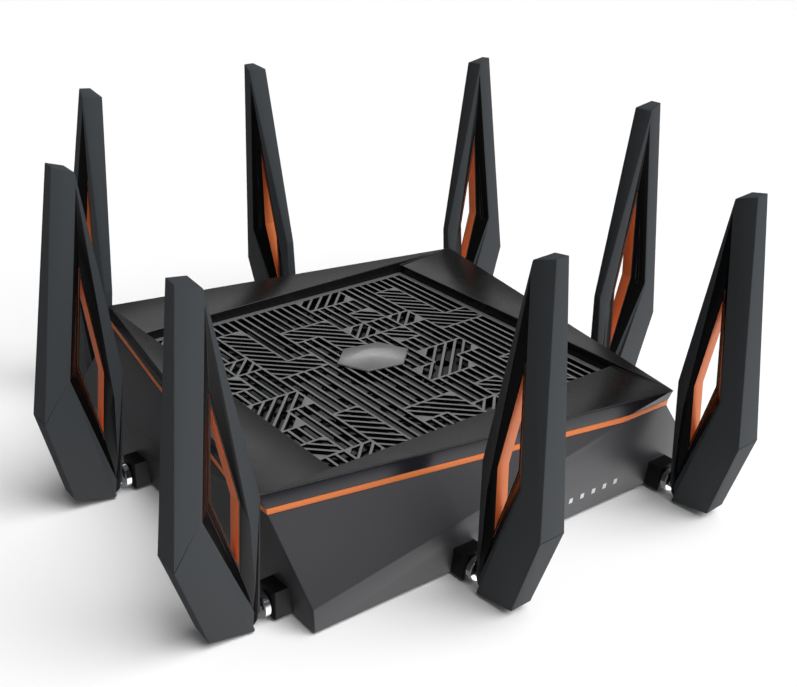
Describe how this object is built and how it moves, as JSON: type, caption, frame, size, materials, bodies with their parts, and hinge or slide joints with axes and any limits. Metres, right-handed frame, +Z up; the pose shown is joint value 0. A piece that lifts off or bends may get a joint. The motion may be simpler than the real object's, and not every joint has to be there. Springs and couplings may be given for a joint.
{
  "type": "wireless router",
  "caption": "Square faceted desktop wireless router with a recessed grille, an accent strip and hinged blade antennas round its base.",
  "frame": {"origin": "on the surface the feet stand on, under the middle of the body", "axes": "+Z up; -Y is the side with the indicator windows, +Y the side with the sockets"},
  "size_m": [0.3835, 0.3957, 0.1912],
  "materials": {
    "satin_body": "satin",
    "base_plastic": "matte",
    "gloss_black": "gloss",
    "copper_accent": "satin metallic",
    "grille_grey": "satin",
    "satin_silver": "satin",
    "antenna_plastic": "fine textured",
    "bright_metal": "polished",
    "rubber_foot": "matte",
    "screw_steel": "satin",
    "board_laminate": "solder mask",
    "heatsink_aluminium": "extruded",
    "chip_black": "matte",
    "tinned_steel": "satin",
    "socket_black": "satin",
    "socket_blue": "satin",
    "key_plastic": "satin",
    "lens_frosted": "frosted"
  },
  "bodies": {
    "body": {"lower_shell": "satin_body", "accent_strip": "copper_accent", "gloss_band": "gloss_black", "top_cover": "satin_body", "vent_grille": "grille_grey", "grille_tray": "base_plastic", "badge": "satin_silver", "base_plate": "base_plastic", "rubber_feet": "rubber_foot", "base_screws": "screw_steel", "board_screws": "screw_steel", "main_board": "board_laminate", "heatsink": "heatsink_aluminium", "processor": "chip_black", "shield_cans": "tinned_steel", "lan_jacks": "socket_black", "wan_jack": "socket_blue", "usb_jacks": "socket_black", "power_inlet": "socket_black", "indicator_lenses": "lens_frosted", "indicator_board": "board_laminate", "antenna_sockets": "bright_metal"},
    "swivel_front_low": {"antenna_front_low_swivel": "bright_metal"},
    "blade_front_low": {"antenna_front_low_right_shell": "antenna_plastic", "antenna_front_low_left_shell": "antenna_plastic", "antenna_front_low_lining": "copper_accent"},
    "swivel_front_high": {"antenna_front_high_swivel": "bright_metal"},
    "blade_front_high": {"antenna_front_high_right_shell": "antenna_plastic", "antenna_front_high_left_shell": "antenna_plastic", "antenna_front_high_lining": "copper_accent"},
    "swivel_right_low": {"antenna_right_low_swivel": "bright_metal"},
    "blade_right_low": {"antenna_right_low_right_shell": "antenna_plastic", "antenna_right_low_left_shell": "antenna_plastic", "antenna_right_low_lining": "copper_accent"},
    "swivel_right_high": {"antenna_right_high_swivel": "bright_metal"},
    "blade_right_high": {"antenna_right_high_right_shell": "antenna_plastic", "antenna_right_high_left_shell": "antenna_plastic", "antenna_right_high_lining": "copper_accent"},
    "swivel_back_low": {"antenna_back_low_swivel": "bright_metal"},
    "blade_back_low": {"antenna_back_low_right_shell": "antenna_plastic", "antenna_back_low_left_shell": "antenna_plastic", "antenna_back_low_lining": "copper_accent"},
    "swivel_back_high": {"antenna_back_high_swivel": "bright_metal"},
    "blade_back_high": {"antenna_back_high_right_shell": "antenna_plastic", "antenna_back_high_left_shell": "antenna_plastic", "antenna_back_high_lining": "copper_accent"},
    "swivel_left_low": {"antenna_left_low_swivel": "bright_metal"},
    "blade_left_low": {"antenna_left_low_right_shell": "antenna_plastic", "antenna_left_low_left_shell": "antenna_plastic", "antenna_left_low_lining": "copper_accent"},
    "swivel_left_high": {"antenna_left_high_swivel": "bright_metal"},
    "blade_left_high": {"antenna_left_high_right_shell": "antenna_plastic", "antenna_left_high_left_shell": "antenna_plastic", "antenna_left_high_lining": "copper_accent"},
    "power_button_cap": {"power_button": "key_plastic"},
    "reset_button_cap": {"reset_button": "key_plastic"},
    "pairing_button_cap": {"pairing_button": "key_plastic"},
    "radio_button_cap": {"radio_button": "key_plastic"}
  },
  "joints": [
    {"name": "front_low_turn", "type": "hinge", "parent": "body", "child": "swivel_front_low", "pos_m": [-0.01369, -0.15459, 0.0087], "axis": [0.1702, -0.9854, 0], "range_deg": [-37.4, 77.6]},
    {"name": "front_low_tilt", "type": "hinge", "parent": "swivel_front_low", "child": "blade_front_low", "pos_m": [-0.01369, -0.15459, 0.0087], "axis": [0.9845, 0.1701, 0.0419], "range_deg": [-7.4, 10.6]},
    {"name": "front_high_turn", "type": "hinge", "parent": "body", "child": "swivel_front_high", "pos_m": [0.12663, -0.13035, 0.0087], "axis": [0.1702, -0.9854, 0], "range_deg": [-85.1, 29.9]},
    {"name": "front_high_tilt", "type": "hinge", "parent": "swivel_front_high", "child": "blade_front_high", "pos_m": [0.12663, -0.13035, 0.0087], "axis": [0.9815, 0.1695, 0.0889], "range_deg": [-2.5, 12]},
    {"name": "right_low_turn", "type": "hinge", "parent": "body", "child": "swivel_right_low", "pos_m": [0.15459, -0.01369, 0.0087], "axis": [0.9854, 0.1702, 0], "range_deg": [-33.6, 81.4]},
    {"name": "right_low_tilt", "type": "hinge", "parent": "swivel_right_low", "child": "blade_right_low", "pos_m": [0.15459, -0.01369, 0.0087], "axis": [-0.1702, 0.9851, -0.0244], "range_deg": [-5.3, 12.7]},
    {"name": "right_high_turn", "type": "hinge", "parent": "body", "child": "swivel_right_high", "pos_m": [0.13035, 0.12663, 0.0087], "axis": [0.9854, 0.1702, 0], "range_deg": [-73.6, 41.4]},
    {"name": "right_high_tilt", "type": "hinge", "parent": "swivel_right_high", "child": "blade_right_high", "pos_m": [0.13035, 0.12663, 0.0087], "axis": [-0.1691, 0.9793, -0.1115], "range_deg": [-3.4, 11.1]},
    {"name": "back_low_turn", "type": "hinge", "parent": "body", "child": "swivel_back_low", "pos_m": [0.01369, 0.15459, 0.0087], "axis": [-0.1702, 0.9854, 0], "range_deg": [-35.1, 79.9]},
    {"name": "back_low_tilt", "type": "hinge", "parent": "swivel_back_low", "child": "blade_back_low", "pos_m": [0.01369, 0.15459, 0.0087], "axis": [-0.9854, -0.1702, 0.0017], "range_deg": [-9.9, 8.1]},
    {"name": "back_high_turn", "type": "hinge", "parent": "body", "child": "swivel_back_high", "pos_m": [-0.12663, 0.13035, 0.0087], "axis": [-0.1702, 0.9854, 0], "range_deg": [-85.6, 29.4]},
    {"name": "back_high_tilt", "type": "hinge", "parent": "swivel_back_high", "child": "blade_back_high", "pos_m": [-0.12663, 0.13035, 0.0087], "axis": [-0.9807, -0.1694, 0.0976], "range_deg": [-0.2, 14.3]},
    {"name": "left_low_turn", "type": "hinge", "parent": "body", "child": "swivel_left_low", "pos_m": [-0.15459, 0.01369, 0.0087], "axis": [-0.9854, -0.1702, 0], "range_deg": [-33.3, 81.7]},
    {"name": "left_low_tilt", "type": "hinge", "parent": "swivel_left_low", "child": "blade_left_low", "pos_m": [-0.15459, 0.01369, 0.0087], "axis": [0.1701, -0.985, -0.0297], "range_deg": [-1.1, 16.9]},
    {"name": "left_high_turn", "type": "hinge", "parent": "body", "child": "swivel_left_high", "pos_m": [-0.13035, -0.12663, 0.0087], "axis": [-0.9854, -0.1702, 0], "range_deg": [-74.3, 40.7]},
    {"name": "left_high_tilt", "type": "hinge", "parent": "swivel_left_high", "child": "blade_left_high", "pos_m": [-0.13035, -0.12663, 0.0087], "axis": [0.1694, -0.9805, -0.0993], "range_deg": [-3.4, 11.1]},
    {"name": "power_button_press", "type": "slide", "parent": "body", "child": "power_button_cap", "axis": [0.1702, -0.9854, 0], "range_m": [0, 0.0012], "stiffness_N_per_m": 400},
    {"name": "reset_button_press", "type": "slide", "parent": "body", "child": "reset_button_cap", "axis": [0.1702, -0.9854, 0], "range_m": [0, 0.0008], "stiffness_N_per_m": 400},
    {"name": "pairing_button_press", "type": "slide", "parent": "body", "child": "pairing_button_cap", "axis": [-0.9854, -0.1702, 0], "range_m": [0, 0.0012], "stiffness_N_per_m": 400},
    {"name": "radio_button_press", "type": "slide", "parent": "body", "child": "radio_button_cap", "axis": [-0.9854, -0.1702, 0], "range_m": [0, 0.0012], "stiffness_N_per_m": 400}
  ]
}
